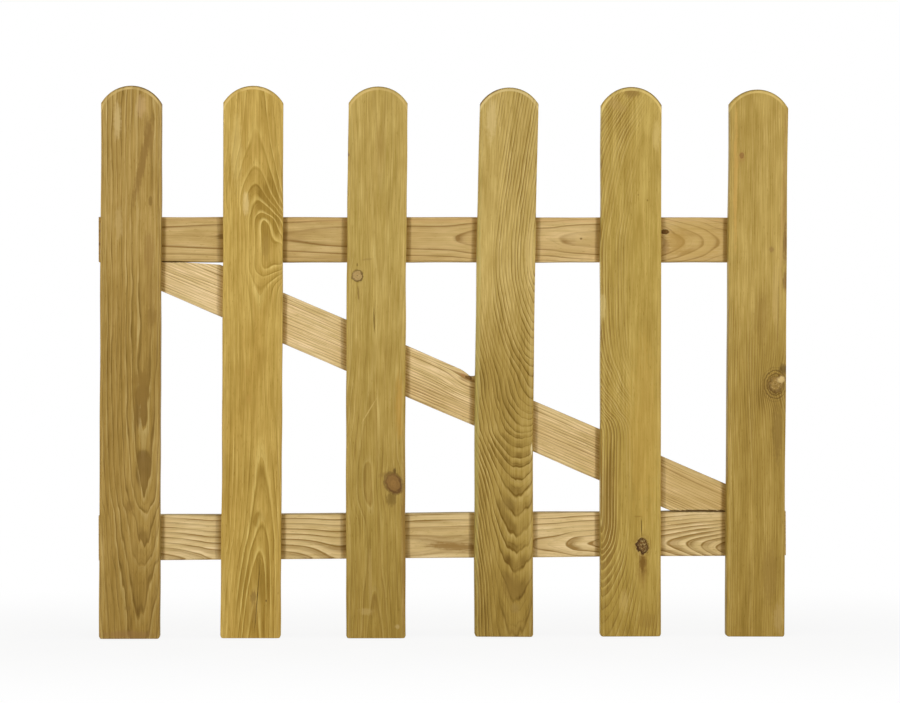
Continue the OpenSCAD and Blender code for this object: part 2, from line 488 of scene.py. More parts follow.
def addKnot(sheet, knot, u, v, crumbs, lumps, colour, height):
    # its own rings, flecks, a broken dark rim that may be heavier on one side, a lip and a heart
    at, size, slant = knot["at"], knot["size"], knot["slant"]
    wobble = (crumbs - 0.5) + (lumps - 0.5) * 1.6
    far = farness(u, v, at, size, slant) + wobble * knot["ragged"]
    inside = sheet.fade(far, 0.92, 1.06)
    ripple = ((far * knot["rings"] + crumbs) * (2 * math.pi)).math("SINE") * 0.5 + 0.5
    face = sheet.mix(ripple * 0.55, knot["face"], knot["dark"])
    if "fleck" in knot:
        face = sheet.mix(sheet.smooth(crumbs, 0.52, 0.6) * knot["fleckShare"], face, knot["fleck"])
    colour = sheet.mix(inside, colour, face)
    right, up = knot["heavy"]
    side = ((u - at[0]) * (right / size[0]) + (v - at[1]) * (up / size[1])) / (far + 0.3)
    weight = sheet.smooth(side, -1.0, 0.6) * (1 - knot["even"]) + knot["even"]
    rim = sheet.smooth(far, 0.68, 0.92) * sheet.fade(far, 1.0, 1.2) * weight
    colour = sheet.mix(rim * knot["rimShare"], colour, knot["rim"])
    if "lip" in knot:
        lip = sheet.smooth(far, 1.08, 1.2) * sheet.fade(far, 1.25, 1.5) * sheet.smooth(crumbs, 0.36, 0.6)
        colour = sheet.mix(lip * knot["lipShare"], colour, knot["lip"])
    if "collar" in knot:
        # crowded rings round the knot, out to a reach
        reach, count, share = knot["collar"]
        beyond = farness(u, v, at, size, slant) + (lumps - 0.5) * 0.4
        arcs = sheet.smooth((beyond * (2 * math.pi * count)).math("SINE"), -0.2, 0.9)
        arcs = arcs * sheet.smooth(far, 0.98, 1.1) * sheet.fade(beyond, 0.5 * reach + 0.4, reach)
        colour = sheet.mix(arcs * share, colour, knot["rim"])
    heart = sheet.fade(far, 0.06, 0.24)
    colour = sheet.mix(heart * knot["heart"], colour, knot["rim"])
    return colour, height - rim * 0.35 + inside * (ripple + crumbs) * 0.12 - heart * 0.2


def splitMask(sheet, u, v, at, reach, slant):
    # a drying split that narrows to nothing at both ends
    fromMiddle = v - at[1]
    opening = (1 - squared(fromMiddle / reach[1])) * reach[0]
    return sheet.smooth(opening - (u - at[0] - fromMiddle * slant).math("ABSOLUTE"), 0, 0.3)


# Meshes: each timber is a closed skin with rounded edges, laid out by shares across and along it.
meshing = {
    "arrisSteps": 4,
    "wallSteps": 3,
    "crowding": 0.6,  # how far the grid's lines draw towards the edges
    "sharp": 38,
    "waves": (0.35, 0.5, 0.5),  # unevenness of the face and of the two long edges
    "waveLengths": (90, 420),
    "knotGroove": (0.45, 1.02, 0.12),  # depth, place and width, the last two as shares of the knot
    "splitDepth": 1.2,
}


def spread(count):
    # shares from 0 to 1 that lie closer together near both ends
    even = np.linspace(0, 1, count + 1)
    eased = 0.5 - 0.5 * np.cos(np.pi * even)
    return even + (eased - even) * meshing["crowding"]


def withMore(shares, middle, reach, count):
    # the same shares with closer ones round one place
    extra = np.linspace(middle - reach, middle + reach, count)
    extra = extra[(extra > 0.002) & (extra < 0.998)]
    kept = [s for s in shares if s in (0, 1) or np.abs(extra - s).min() > 0.4 * reach / count]
    return np.unique(np.concatenate([kept, extra]))


def gridShares(piece, wide, long):
    # the board's grid, with closer lines at its knots and splits
    across, along = spread(piece["columns"]), spread(piece["rows"])
    for knot in piece["knots"]:
        middle, reach = knot["at"], [size * 1.3 for size in knot["size"]]
        across = withMore(across, middle[0] / wide + 0.5, reach[0] / wide, 17)
        along = withMore(along, middle[1] / long, reach[1] / long, 21)
    for at, reach, slant in piece["splits"]:
        lean = abs(slant) * reach[1]
        across = withMore(across, at[0] / wide + 0.5, (1.6 + lean) / wide, 9 + int(lean * 2))
        along = withMore(along, at[1] / long, reach[1] / long, 17)
    return across, along


def skinLevels(radius, thick):
    # how far in and how deep each ring of the skin lies, from the front's rim to the back's
    steps, walls = meshing["arrisSteps"], meshing["wallSteps"]
    turns = [math.radians(90 * k / steps) for k in range(1, steps + 1)]
    levels = [(1 - math.sin(t), radius * (1 - math.cos(t))) for t in turns]
    levels += [(0, radius + (thick - 2 * radius) * k / walls) for k in range(1, walls + 1)]
    levels += [(1 - math.cos(t), thick - radius + radius * math.sin(t)) for t in turns[:-1]]
    return levels


def boardMesh(name, shape, radiusAt, thick, across, along, place, relief):
    # shape(a, b, ease, depth) gives u and v, where ease is 1 on the faces and 0 on the sides
    a, b = (shares.ravel() for shares in np.meshgrid(across, along, indexing="ij"))
    grid = np.arange(a.size).reshape(across.size, along.size)
    rim = np.concatenate([grid[:, 0], grid[-1, 1:], grid[-2::-1, -1], grid[0, -2:0:-1]])

    layers = [(*shape(a, b, 1.0, 0.0), 0 * a)]
    for ease, depth in skinLevels(radiusAt(a[rim], b[rim]), thick):
        layers.append((*shape(a[rim], b[rim], ease, depth), depth))
    layers.append((*shape(a, b, 1.0, thick), 0 * a + thick))
    u, v, w = (np.concatenate([layer[axis] for layer in layers]) for axis in range(3))
    u, w = relief(u, v, w)

    cells = np.stack([grid[:-1, :-1], grid[1:, :-1], grid[1:, 1:], grid[:-1, 1:]], axis=-1).reshape(-1, 4)
    lastStart = u.size - a.size
    faces = cells.tolist() + (cells[:, ::-1] + lastStart).tolist()
    between = [np.arange(rim.size) + a.size + k * rim.size for k in range(len(layers) - 2)]
    rings = [rim, *between, rim + lastStart]
    for upper, lower in zip(rings, rings[1:]):
        sides = np.stack([upper, lower, np.roll(lower, -1), np.roll(upper, -1)], axis=-1)
        faces += sides.tolist()

    origin, up, right = place["origin"], place["along"], place["across"]
    x = origin.x + (u * right[0] + v * up[0]) * mm
    z = origin.z + (u * right[1] + v * up[1]) * mm
    points = np.stack([x, origin.y + w * mm, z], axis=-1)
    return meshObject(name, points, faces)


def meshObject(name, points, faces):
    mesh = bpy.data.meshes.new(name)
    mesh.from_pydata([tuple(point) for point in points], [], faces)
    work = bmesh.new()
    work.from_mesh(mesh)
    bmesh.ops.recalc_face_normals(work, faces=work.faces)
    work.to_mesh(mesh)
    work.free()
    piece = bpy.data.objects.new(name, mesh)
    bpy.context.scene.collection.objects.link(piece)
    return piece


def smoothed(piece):
    piece.data.shade_smooth()
    piece.data.set_sharp_from_angle(angle=math.radians(meshing["sharp"]))


def unevenness(seed, amount):
    # a sum of a few long waves, the same on every run
    draw = random.Random(seed)
    waves = [(draw.uniform(*meshing["waveLengths"]), draw.uniform(0, 2 * math.pi)) for _ in range(4)]
    return lambda at: sum(np.sin(2 * math.pi * at / long + start) for long, start in waves) * amount / 4


def timberRelief(piece, thick, wide):
    # the small ways in which a sawn and planed board isn't flat or straight
    start = piece["seed"] * 10
    face, left, right = (unevenness(start + k, amount) for k, amount in enumerate(meshing["waves"]))
    deep, ring, thin = meshing["knotGroove"]

    def relief(u, v, w):
        proud = face(v + u * 0.8) * 0.5
        for knot in piece["knots"]:
            (x, y), (wideness, height) = knot["at"], knot["size"]
            far = np.sqrt(((u - x) / wideness) ** 2 + ((v - y) / height) ** 2)
            proud = proud + knot["proud"] * np.exp(-((far / 0.8) ** 4))
            proud = proud - deep * np.exp(-(((far - ring) / thin) ** 2))
        for at, reach, slant in piece["splits"]:
            beside = np.abs(u - at[0] - (v - at[1]) * slant)
            opening = np.clip(1 - ((v - at[1]) / reach[1]) ** 2, 0, 1)
            proud = proud - meshing["splitDepth"] * opening * np.exp(-((beside / (reach[0] + 0.25)) ** 2))
        edge = np.clip(u / wide + 0.5, 0, 1)
        sideways = left(v) * (1 - edge) + right(v) * edge
        return u + sideways + bowed(v, piece["bow"]), w - proud * np.clip(1 - w / thick, 0, 1) ** 3

    return relief


def endRadius(piece):
    # the rounding at each rim point: the two ends' own, easing into the long edges' at the corners
    def radiusAt(a, b):
        share = piece["cornerShare"]
        toCorner = np.clip((np.abs(2 * a - 1) - (1 - share)) / share, 0, 1)
        first, last = (end + (piece["arris"] - end) * toCorner**2 for end in piece["ends"])
        return np.where(b == 0, first, np.where(b == 1, last, piece["arris"]))

    return radiusAt


def fittedPlace(shape, node, along, across, wide):
    # a board's directions, and its own zero where its outline fills the node's box
    rim = np.linspace(0, 1, 60)
    a = np.concatenate([rim, rim, 0 * rim, 0 * rim + 1])
    b = np.concatenate([0 * rim, 0 * rim + 1, rim, rim])
    u, v = shape(a, b, 0.0, 0.0)
    x, z = u * across[0] + v * along[0], u * across[1] + v * along[1]
    low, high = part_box(node)
    middleX, middleZ = (x.min() + x.max()) / 2 * mm, (z.min() + z.max()) / 2 * mm
    origin = Vector(((low.x + high.x) / 2 - middleX, low.y, (low.z + high.z) / 2 - middleZ))
    return {"origin": origin, "along": along, "across": across, "wide": wide}


def addBoard(node, piece, place, shape, radiusAt, grid):
    # a timber with its screw holes, in the place of its CAD node
    _, thick, _ = sizeOf(node)
    relief = timberRelief(piece, thick, place["wide"])
    board = boardMesh("dressed_" + node, shape, radiusAt, thick, *grid, place, relief)
    board.data.materials.append(woodMaterial(node, piece, place))
    drill(board, node)
    smoothed(board)
    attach(board, "root")
    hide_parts(node)


def sizeOf(node):
    # a node's width, depth and height in millimetres
    low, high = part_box(node)
    return [(end - start) / mm for start, end in zip(low, high)]


# Screws: countersunk, driven from the back, with a cross recess and a threaded shank.
screw = {
    "head": 4.0,
    "headHeight": 2.4,
    "headRings": 14,
    "core": 1.35,
    "thread": 1.95,
    "plain": 2.0,
    "plainTo": 14,
    "pitch": 2.2,
    "turnSteps": 6,
    "point": 7,
    "sides": 32,
    "fit": 0.12,
    "recess": (2.3, 0.42, 1.5),  # reach and half width of an arm, and depth
    "open": 4,  # how far a hole's cutter stands out of the wood
    "spinSeed": 11,
    "cloud": (900, 900, 900),  # marks in the zinc for each metre
    "scratch": (5200, 700, 900),
    "zinc": (196, 186, 156),
    "yellow": (214, 188, 120),
    "dull": (120, 108, 84),
}


def screwSpots(node):
    # the middles of a node's screws on the back face: one, or two set corner to corner
    low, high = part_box(node)
    reach = screw["head"] * mm
    if high.x - low.x < 3 * reach:
        return [Vector(((low.x + high.x) / 2, high.y, (low.z + high.z) / 2))]
    return [Vector((low.x + reach, high.y, high.z - reach)), Vector((high.x - reach, high.y, low.z + reach))]


def turnedForm(profile, spin=0.0):
    # points and faces of a form turned about Y; profile runs from one pole to the other
    sides = screw["sides"]
    angles = [spin + 2 * math.pi * k / sides for k in range(sides)]
    points = [(0, profile[0][1], 0)]
    for radius, y in profile[1:-1]:
        points += [(radius * math.cos(t), y, radius * math.sin(t)) for t in angles]
    points.append((0, profile[-1][1], 0))
    last = len(points) - 1
    faces = []
    for k in range(sides):
        after = (k + 1) % sides
        faces.append((0, 1 + k, 1 + after))
        for ring in range(len(profile) - 3):
            start = 1 + ring * sides
            faces.append((start + k, start + sides + k, start + sides + after, start + after))
        faces.append((last, last - sides + after, last - sides + k))
    return points, faces


def holeForm(long, grow):
    head, shank = screw["head"] + grow, screw["plain"] + grow
    profile = [(0, screw["open"]), (head, screw["open"]), (head, 0), (shank, -screw["headHeight"])]
    profile += [(shank, screw["point"] - long), (0.3, -long - grow), (0, -long - grow)]
    return turnedForm(profile)


def screwForm(long, spin):
    # mesh of one screw with its head at 0 and its point at -long
    head, reach, rings = screw["head"], screw["headHeight"], screw["headRings"]
    profile = [(0, 0)] + [(head * (0.97 * k / rings), 0) for k in range(1, rings + 1)]
    profile += [(head, -0.12), (head, -0.3), (screw["plain"], -reach)]
    plainEnd = -screw["plainTo"]
    profile += [(screw["plain"], y) for y in np.linspace(-reach - 0.5, plainEnd, 6)]
    step = screw["pitch"] / screw["turnSteps"]
    profile += [(1.0, y) for y in np.arange(plainEnd - 0.3, -long + 0.3, -step)]
    profile += [(0.05, -long), (0, -long)]
    points, faces = turnedForm(profile, spin)
    shaped = []
    for x, y, z in points:
        radius, angle = math.hypot(x, z), math.atan2(z, x)
        if y < plainEnd and radius > 0.5:
            taper = min(1, (y + long) / screw["point"])
            phase = (angle / (2 * math.pi) - y / screw["pitch"]) % 1
            ridge = max(0, 1 - abs(phase - 0.5) * 3.2)
            wanted = (screw["core"] + (screw["thread"] - screw["core"]) * ridge) * max(taper, 0.12)
            x, z = x * wanted / radius, z * wanted / radius
        elif y == 0:
            y = -recessDepth(x, z, spin)
        shaped.append((x, y, z))
    return shaped, faces


def recessDepth(x, z, spin):
    # a cross with sloping walls, deepest in the middle
    reach, arm, deep = screw["recess"]
    along = abs(x * math.cos(spin) + z * math.sin(spin))
    beside = abs(z * math.cos(spin) - x * math.sin(spin))
    far, near = max(along, beside), min(along, beside)
    wall = min(1, max(0, (arm + 0.18 - near) / 0.22))
    end = min(1, max(0, (reach - far) / 0.7))
    return deep * wall * end * (1 - 0.35 * far / reach)


def joined(forms):
    # several (points, faces, spot) forms as one set of points and faces, in metres
    points, faces = [], []
    for form, spot in forms:
        start = len(points)
        points += [(spot.x + x * mm, spot.y + y * mm, spot.z + z * mm) for x, y, z in form[0]]
        faces += [tuple(start + corner for corner in face) for face in form[1]]
    return points, faces


def screwNodesIn(node):
    # the screw nodes whose screws run through a board
    starts = {"top_rail": "top_rail", "bottom_rail": "bottom_rail", "diagonal_brace": "brace"}
    if node in starts:
        return [name for name in screwNodes if name.startswith(starts[node] + "_screws_")]
    return [name for name in screwNodes if name.endswith("_" + node[-1])]


def drill(piece, node):
    forms = []
    for name in screwNodesIn(node):
        _, long, _ = sizeOf(name)
        forms += [(holeForm(long, screw["fit"]), spot) for spot in screwSpots(name)]
    cutter = meshObject("cutter", *joined(forms))
    cut = piece.modifiers.new("holes", "BOOLEAN")
    cut.operation, cut.solver, cut.object = "DIFFERENCE", "MANIFOLD", cutter
    bpy.context.view_layer.update()
    drilled = bpy.data.meshes.new_from_object(piece.evaluated_get(bpy.context.evaluated_depsgraph_get()))
    piece.modifiers.clear()
    piece.data = drilled
    bpy.data.objects.remove(cutter)


def zincMaterial():
    sheet = newSheet("zinc")
    place = sheet.objectPlace()
    cloud = sheet.noise(sheet.join(*(axis * count for axis, count in zip(place, screw["cloud"]))), 3.0)
    scratch = sheet.noise(sheet.join(*(axis * count for axis, count in zip(place, screw["scratch"]))), 2.0)
    colour = sheet.mix(sheet.smooth(cloud, 0.35, 0.7), screw["zinc"], screw["yellow"])
    colour = sheet.mix(sheet.smooth(scratch, 0.6, 0.75) * 0.5, colour, screw["dull"])
    bump = sheet.node("ShaderNodeBump", {}, {"Strength": 0.5, "Distance": 0.1 * mm, "Height": scratch})
    return sheet.finish({"Base Color": colour, "Roughness": 0.32 + scratch * 0.16, "Metallic": 1.0}, bump)


def addScrews():
    zinc = zincMaterial()
    draw = random.Random(screw["spinSeed"])
    for name in screwNodes:
        _, long, _ = sizeOf(name)
        forms = [(screwForm(long, draw.uniform(0, math.pi / 2)), spot) for spot in screwSpots(name)]
        piece = meshObject("dressed_" + name, *joined(forms))
        piece.data.materials.append(zinc)
        smoothed(piece)
        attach(piece, "root")
        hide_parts(name)


screwNodes = sorted(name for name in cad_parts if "_screws_" in name)
addScrews()
print("screws made")


# Pales: what the six share, then one dictionary for each, from the latch side.
# Side and depth say where the tree's heart lay, beside a board's middle and behind its face, at
# places along it. Shade is how light the board is at the places in shadeAt.
paleForm = {
    "arch": 50,
    "footCorner": 3.5,
    "arris": 3.0,
    "ends": (1.0, 4.4),  # the rounding of the foot's edge and of the arch's
    "cornerShare": 0.1,
    "tip": 0,  # how far the arch's top lies to one side
    "shoulderDrop": 25,  # from the tip to where the box is widest
    "footReach": 40,  # from the middle to the foot's lower corner
    "columns": 34,
    "rows": 170,
    "shadeAt": (0, 54, 178, 352, 539, 702, 800),
}

pale1 = {
    "seed": 1, "lean": 0.19, "bow": (0.2, 0.3, 0.4), "gap": 6.0, "round": 1.55,
    "early": (169, 139, 74), "lateWood": (134, 105, 48), "tint": (232, 226, 204), "edge": (204, 176, 112),
    "sway": (26, 120, 3.0), "jag": (7, 60, 0.4), "burnt": (1, 0.6),
    "side": [(0, 13), (96, 17), (200, 21), (300, 20), (500, 22), (800, 20)],
    "depth": [
        (0, 62.5), (32, 60), (96, 54), (128, 48), (179, 42), (208, 36), (303, 30), (420, 26.5), (560, 25.5),
        (700, 25), (800, 27),
    ],
    "shade": (0.8, 0.81, 0.91, 0.84, 0.95, 1.0, 1.02),
    "bold": [
        ((14, 60), (40, 70), 0.35), ((17, 338), (12, 50), 1.2), ((20, 244), (14, 40), 1.2),
        ((18, 140), (16, 24), 0.6),
    ],
    "quiet": [((18, 640), (34, 150), 0.5)],
    "stains": [
        ((25, 728), (8, 34), (142, 111, 56), 0.75, -0.12),
        ((16, 690), (6.5, 66), (137, 106, 51), 0.85, 0.2), ((28.5, 632), (3.4, 8), (126, 96, 42), 0.7),
        ((27, 560), (9, 34), (150, 118, 62), 0.6), ((30, 500), (8, 30), (148, 117, 58), 0.5),
        ((30, 466), (9, 17), (130, 100, 44), 0.65), ((17, 376), (16, 16), (136, 106, 46), 0.85),
        ((17, 353), (12, 20), (132, 102, 43), 0.95), ((18.5, 328), (7, 18), (130, 100, 42), 0.9),
        ((20, 256), (10, 18), (126, 97, 42), 0.5), ((-20, 747), (6, 30), (204, 178, 122), 0.6),
        ((-17, 600), (6, 28), (186, 158, 98), 0.6), ((14, 770), (8, 20), (198, 166, 114), 0.5),
        ((0, 192), (7, 10), (130, 100, 44), 0.65), ((-2, 44), (5, 4), (128, 100, 46), 0.6),
        ((0, 6), (40, 7), (140, 106, 60), 0.6),
    ],
}

pale2 = {
    "seed": 2, "lean": 0.3, "bow": (0.5, 0.0, -0.6), "gap": 5.0, "round": 1.8,
    "early": (188, 157, 80), "lateWood": (155, 124, 50), "tint": (236, 228, 204), "edge": (214, 184, 112),
    "cream": (214, 189, 113), "creamShare": 0.7, "jag": (12, 60, 0.1), "late": (0.25, 0.88),
    "side": [
        (0, 5), (60, 8), (123, 12), (173, 15), (265, 14), (400, 11), (497, 11), (523, 15), (570, 19),
        (617, 13), (635, 7), (660, 4), (800, 3),
    ],
    "depth": [
        (0, 17), (60, 20), (123, 25), (173, 30), (265, 35), (380, 38), (497, 35), (523, 30), (550, 24),
        (590, 24), (617, 30), (635, 35), (660, 40), (690, 45), (735, 50), (800, 53),
    ],
    "hills": [((48, 556), (15, 30), -3.0)],
    "shade": (0.92, 0.94, 0.94, 0.94, 1.01, 1.0, 1.02),
    "bold": [
        ((26, 620), (22, 60), 0.8), ((12, 170), (10, 18), 1.0), ((8, 60), (30, 90), 0.7),
        ((0, 640), (30, 50), 0.3),
    ],
    "quiet": [
        ((6, 370), (60, 140), 0.6), ((-34, 560), (18, 170), 0.5), ((-34, 120), (20, 150), 0.4),
        ((4, 738), (32, 28), 0.6),
    ],
    "stains": [
        ((-7, 385), (3.5, 6), (176, 138, 66), 0.5), ((-5, 347), (3.5, 7), (176, 138, 66), 0.5),
        ((-24, 707), (9, 60), (214, 188, 116), 0.35), ((-10, 630), (5, 20), (228, 202, 140), 0.5),
        ((18, 566), (6, 20), (150, 120, 54), 0.6), ((4, 60), (5, 13), (132, 102, 48), 0.75),
        ((6, 40), (9, 24), (158, 128, 64), 0.4), ((22.4, 54.4), (1.3, 1.6), (108, 80, 34), 0.8),
    ],
    "splits": [((9.6, 60), (0.42, 62), 0.072)],
}

pale3 = {
    "seed": 3, "lean": 0.25, "bow": (-0.3, 0.0, 1.9), "gap": 4.6, "round": 1.8,
    "early": (179, 152, 81), "lateWood": (154, 124, 61), "tint": (230, 228, 206), "edge": (208, 180, 112),
    "groove": (108, 82, 38), "jag": (12, 50, 0.15), "streak": (1.8, 60, 0.34),
    "side": [(0, -2), (150, -3), (240, -10), (330, -6), (450, 2), (620, 6), (800, 2)],
    "depth": [
        (0, 24), (60, 27), (150, 30), (185, 28), (230, 26), (262, 28), (330, 31), (450, 33), (560, 31),
        (650, 28), (800, 25),
    ],
    "knots": [
        {
            "at": (-27.7, 526), "size": (8, 8.3), "bend": (14, 22), "rings": 1.6, "ragged": 0.4,
            "face": (180, 151, 96), "dark": (150, 122, 68), "rim": (102, 78, 38), "rimShare": 0.9,
            "heavy": (0.8, -0.6), "even": 0.65,
        },
        {
            "at": (26, 225), "size": (11.5, 13.5), "slant": -0.2, "bend": (20, 34),
            "collar": (1.7, 1.9, 0.4), "rings": 1.4, "ragged": 0.28, "heart": 0, "face": (142, 107, 55),
            "dark": (120, 87, 44), "rim": (96, 66, 32), "rimShare": 0.9, "heavy": (0.6, -0.8), "even": 0.55,
        },
    ],
    "shade": (0.72, 0.74, 0.85, 0.87, 1.03, 1.0, 1.02),
    "quiet": [((0, 600), (80, 400), 0.62), ((0, 60), (80, 260), 0.35)],
    "stains": [
        ((24, 228), (16, 22), (134, 106, 46), 0.7), ((23, 202), (9, 11), (116, 90, 36), 0.75),
        ((28, 243), (3, 4), (94, 68, 28), 0.8), ((12, 238), (9, 5), (140, 110, 52), 0.6, 1.2),
        ((-28, 542), (1.6, 3), (110, 84, 38), 0.7), ((-14, 550), (8, 2), (150, 122, 64), 0.6, 2.0),
        ((34, 337), (6, 50), (186, 142, 62), 0.45), ((41, 137), (5, 150), (128, 94, 42), 0.6),
        ((2, 700), (10, 44), (164, 134, 68), 0.35), ((-42, 702), (1.5, 4), (110, 80, 50), 0.8),
        ((-14, 39), (11, 6), (180, 154, 92), 0.5), ((31, 17), (4, 4), (186, 160, 102), 0.6),
        ((-26, 500), (1.6, 15), (128, 98, 44), 0.75, -0.1), ((-8, 90), (3, 44), (178, 150, 88), 0.4),
        ((-10, 330), (1.2, 20), (206, 178, 108), 0.5, 0.6),
    ],
    "splits": [((-3, 462), (0.6, 20), -0.03)],
}

pale4 = {
    "seed": 4, "lean": 0.53, "bow": (-0.6, 0.6, 3.2), "gap": 4.4, "round": 1.7,
    "early": (184, 157, 88), "lateWood": (128, 99, 37), "tint": (230, 226, 204), "edge": (208, 184, 122),
    "jag": (9, 50, 0.3), "burnt": (-1, 0.85),
    "side": [
        (0, 16), (100, 18), (200, 20), (285, 24), (312, 34), (345, 46), (420, 56), (545, 58), (600, 62),
        (680, 72), (800, 90),
    ],
    "depth": [
        (0, 158), (60, 153), (88, 150), (121, 145), (147, 141), (190, 134), (234, 126), (249, 122),
        (262, 118), (285, 110), (315, 97), (345, 83), (385, 70), (420, 54), (454, 40), (500, 24), (545, 8),
        (600, 1), (800, 1),
    ],
    "hills": [((-50, 90), (26, 190), 4.5)],
    "shade": (0.67, 0.68, 0.82, 0.82, 1.07, 1.0, 1.02),
    "bold": [
        ((14, 190), (24, 50), 0.6), ((18, 100), (22, 60), 0.65), ((10, 274), (46, 34), 0.6),
        ((-30, 130), (14, 170), 0.5), ((-6, 400), (44, 110), 0.4), ((12, 640), (26, 160), 0.3),
    ],
    "quiet": [((-34, 660), (26, 230), 0.85), ((16, 130), (30, 130), 0.2)],
    "stains": [
        ((40, 274), (1.3, 9), (228, 212, 164), 0.8), ((-40, 344), (4, 330), (160, 152, 84), 0.4),
        ((-26, 752), (9, 34), (214, 190, 132), 0.45), ((-8, 660), (8, 60), (206, 178, 104), 0.3),
        ((34, 560), (8, 50), (212, 184, 118), 0.4), ((4, 193), (15, 10), (134, 108, 50), 0.6),
        ((12, 74), (18, 22), (134, 106, 46), 0.7), ((16, 42), (8, 8), (150, 124, 66), 0.6),
    ],
}

pale5 = {
    "seed": 5, "lean": 0.09, "bow": (0.3, 0.0, 0.3), "gap": 4.4,
    "early": (180, 153, 78), "lateWood": (139, 109, 47), "tint": (234, 228, 204), "edge": (214, 188, 114),
    "jag": (10, 50, 0.14), "burnt": (1, 0.7),
    "side": [
        (0, -50), (285, -50), (330, -68), (380, -98), (447, -114), (549, -116), (620, -108), (690, -94),
        (717, -86), (760, -64), (800, -40),
    ],
    "depth": [(0, 60), (30, 54), (65, 45), (115, 27), (150, 11), (180, 4), (400, 2), (800, 2)],
    "knots": [
        {
            "at": (17, 132), "size": (8, 11), "bend": (15, 30), "proud": -0.2, "rings": 1.2,
            "face": (112, 80, 38), "dark": (62, 38, 16), "rim": (68, 42, 16), "rimShare": 1.0,
            "heavy": (-0.9, -0.5), "even": 0.45, "fleck": (182, 158, 98), "lip": (190, 162, 96),
            "lipShare": 0.5,
        },
    ],
    "shade": (0.79, 0.81, 0.96, 0.96, 0.96, 1.0, 1.02),
    "bold": [((-38, 420), (15, 420), 0.5), ((-34, 150), (24, 130), 0.6), ((-16, 746), (16, 30), 0.5)],
    "quiet": [((28, 480), (42, 420), 0.93), ((26, 140), (36, 130), 0.8)],
    "stains": [
        ((1, 793), (14, 8), (140, 110, 54), 0.75), ((-24, 776), (14, 12), (172, 142, 80), 0.5, -1.0),
        ((10, 644), (1.3, 1.6), (130, 100, 44), 0.7), ((23.5, 636), (1.3, 1.5), (130, 100, 44), 0.7),
        ((-41, 483), (5, 22), (208, 186, 124), 0.5), ((36, 730), (6, 24), (206, 180, 112), 0.5),
        ((20, 300), (26, 150), (184, 148, 68), 0.35), ((17, 134), (13, 20), (140, 110, 46), 0.7),
        ((17, 96), (9, 30), (148, 116, 52), 0.6), ((17, 108), (5.5, 22), (118, 86, 32), 1.0),
        ((10, 175), (6, 1.6), (144, 112, 46), 0.7), ((-10, 52), (8, 18), (190, 162, 94), 0.45),
        ((24, 24), (18, 14), (140, 110, 48), 0.4),
    ],
    "splits": [((15.6, 160), (0.5, 15), -0.02)],
}

pale6 = {
    "seed": 6, "lean": 0.38, "bow": (-0.1, 0.2, 0.4), "tip": -1.8, "gap": 3.6,
    "early": (175, 147, 76), "lateWood": (144, 114, 50), "tint": (230, 226, 204), "edge": (206, 178, 106),
    "sway": (22, 140, 3.4), "jag": (10, 60, 0.2), "band": (9, 420, 0.2),
    "side": [(0, 110), (200, 112), (400, 106), (600, 110), (800, 108)],
    "depth": [(0, 10), (800, 10)],
    "hills": [((33, 368), (20, 30), -3.2)],
    "knots": [
        {
            "at": (-25.2, 702.7), "size": (3.4, 4.4), "bend": (8, 12), "proud": 0.1, "rings": 0.7,
            "ragged": 0.25, "heart": 0, "face": (150, 112, 58), "dark": (136, 98, 50),
            "rim": (160, 122, 66), "rimShare": 0.5, "heavy": (0, 1), "even": 0.6,
        },
        {
            "at": (27, 368.5), "size": (9.6, 12), "bend": (14, 20), "pull": 0.6, "collar": (2.4, 2.5, 0.8),
            "proud": 0.4, "rings": 2.6, "ragged": 0.6, "heart": 0.2, "face": (158, 128, 66),
            "dark": (112, 82, 32), "rim": (98, 70, 28), "rimShare": 0.85, "heavy": (-0.6, -0.8),
            "fleck": (182, 154, 96),
        },
        {
            "at": (35, 376), "size": (6, 6), "bend": (6, 6), "pull": 0, "proud": 0.5, "rings": 0.8,
            "ragged": 0.4, "heart": 0, "face": (204, 176, 116), "dark": (176, 146, 88),
            "rim": (110, 82, 38), "heavy": (0.4, 0.9), "even": 0.2,
        },
    ],
    "shade": (0.77, 0.79, 0.85, 0.82, 1.04, 1.0, 1.02),
    "bold": [((20, 350), (26, 44), 0.7)],
    "quiet": [((-10, 640), (90, 250), 0.6), ((-10, 120), (90, 220), 0.45)],
    "stains": [
        ((-33.8, 666), (3.4, 116), (204, 162, 86), 0.5), ((-25, 700), (6, 10), (166, 130, 68), 0.6),
        ((38, 650), (2.2, 130), (150, 112, 62), 0.6), ((39.5, 574), (3.2, 34), (112, 78, 36), 0.9),
        ((39.5, 520), (3, 20), (116, 82, 38), 0.85), ((34, 580), (1.6, 110), (194, 158, 98), 0.5),
        ((30, 470), (1.2, 60), (128, 98, 46), 0.6), ((26, 500), (5, 50), (192, 164, 100), 0.45),
        ((6, 470), (14, 40), (142, 112, 52), 0.4), ((39, 391), (7, 9), (98, 74, 28), 0.9),
        ((30.5, 300), (9, 50), (126, 98, 42), 0.65), ((20, 90), (14, 50), (134, 104, 46), 0.45),
        ((34, 28), (8, 26), (178, 150, 92), 0.5), ((20, 566), (4, 5), (140, 106, 60), 0.6),
    ],
}


